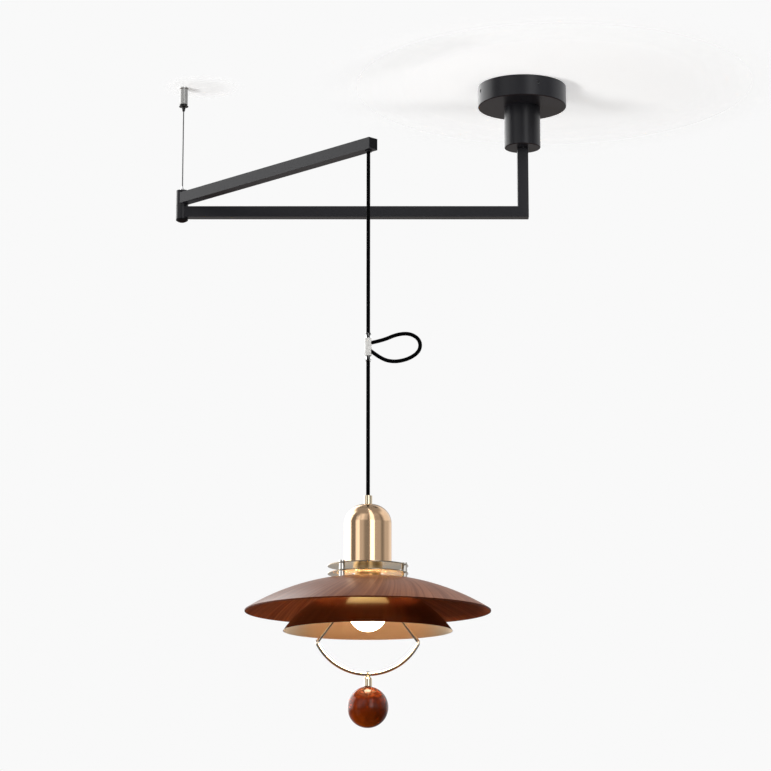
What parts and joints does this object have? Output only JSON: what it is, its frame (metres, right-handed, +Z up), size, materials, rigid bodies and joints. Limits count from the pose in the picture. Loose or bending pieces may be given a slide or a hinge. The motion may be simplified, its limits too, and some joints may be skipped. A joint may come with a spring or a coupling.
{
  "type": "swing arm pendant light",
  "caption": "Ceiling pendant on a folding black two-piece square-tube arm with wire support, textile cord, walnut dome shade, bronze reflector, bow handle and wooden pull ball.",
  "frame": {"origin": "centre of the canopy on the ceiling plane, midway between the two ceiling screw holes", "axes": "+Z up into the ceiling, the lower arm runs from the canopy along -X, the upper arm folds towards -Y"},
  "size_m": [0.6175, 0.546, 1.036],
  "materials": {
    "black_metal": "satin",
    "dark_plastic": "satin",
    "bracket_steel": "zinc",
    "terminal_plastic": "matt",
    "washer_plastic": "matt",
    "bush_bronze": "plain",
    "chrome": "polished",
    "wire_steel": "stranded",
    "anchor_silver": "satin",
    "clear_plastic": "clear",
    "cord_textile": "braided",
    "brass": "polished",
    "champagne_metal": "brushed",
    "polished_metal": "polished",
    "reflector_bronze": "polished bronze plating",
    "holder_gold": "gold metallised",
    "walnut": "oiled, fine grain",
    "ball_wood": "gloss varnish",
    "bulb_base_metal": "plain",
    "bulb_glass": "opal"
  },
  "bodies": {
    "ceiling": {"ceiling_bracket": "bracket_steel", "canopy_cup": "black_metal", "canopy_side_screws": "black_metal", "terminal_block": "terminal_plastic", "swivel_housing": "black_metal", "housing_locknut": "bracket_steel", "swivel_bush": "bush_bronze"},
    "lower_arm": {"swivel_spindle": "bracket_steel", "spindle_washer": "bracket_steel", "spindle_nut": "bracket_steel", "drop_tube": "black_metal", "lower_arm_tube": "black_metal", "elbow_knuckle_lower": "black_metal", "elbow_washer": "washer_plastic", "elbow_pin": "black_metal", "elbow_bottom_cap": "dark_plastic", "wire_ferrule": "chrome", "suspension_wire": "wire_steel", "anchor_base": "anchor_silver", "anchor_body": "anchor_silver", "gripper_collet": "bush_bronze"},
    "gripper": {"gripper_nozzle": "dark_plastic"},
    "upper_arm": {"elbow_knuckle_upper": "black_metal", "upper_arm_tube": "black_metal", "upper_arm_end_cap": "dark_plastic", "cord_exit_bush": "dark_plastic"},
    "cord": {"pendant_cord_upper": "cord_textile", "cord_adjuster": "clear_plastic", "cord_loop": "cord_textile", "pendant_cord_lower": "cord_textile"},
    "lamp": {"cord_nipple": "brass", "cap_shell": "champagne_metal", "nipple_tube": "bracket_steel", "cap_locknut": "bracket_steel", "lamp_holder": "holder_gold", "upper_disc": "polished_metal", "lower_disc": "polished_metal", "disc_ring": "holder_gold", "disc_spacers": "chrome", "disc_bolts": "chrome", "disc_bolt_nuts": "chrome", "wood_shade": "walnut", "inner_reflector": "reflector_bronze", "reflector_gallery": "polished_metal", "gallery_ring": "holder_gold", "gallery_rivets": "polished_metal", "bulb_base": "bulb_base_metal", "bulb_glass": "bulb_glass", "bow_handle": "brass", "bow_nuts": "brass", "ball_ferrule": "brass", "ball_stud": "bracket_steel", "pull_ball": "ball_wood"}
  },
  "joints": [
    {"name": "arm_swivel", "type": "hinge", "parent": "ceiling", "child": "lower_arm", "pos_m": [0, 0, -0.096], "axis": [0, 0, 1], "range_deg": [-170, 170]},
    {"name": "elbow_swivel", "type": "hinge", "parent": "lower_arm", "child": "upper_arm", "pos_m": [-0.538, 0, -0.1832], "axis": [0, 0, 1], "range_deg": [-305, 40]},
    {"name": "gripper_release", "type": "slide", "parent": "lower_arm", "child": "gripper", "axis": [0, 0, 1], "range_m": [0, 0.002], "stiffness_N_per_m": 300, "springref_m": -0.002},
    {"name": "cord_swing", "type": "hinge", "parent": "upper_arm", "child": "cord", "pos_m": [-0.24222, -0.30099, -0.194], "axis": [1, 0, 0], "range_deg": [-20, 20]},
    {"name": "lamp_tilt", "type": "hinge", "parent": "cord", "child": "lamp", "pos_m": [-0.24222, -0.30099, -0.7051], "axis": [0, 1, 0], "range_deg": [-20, 20]}
  ]
}
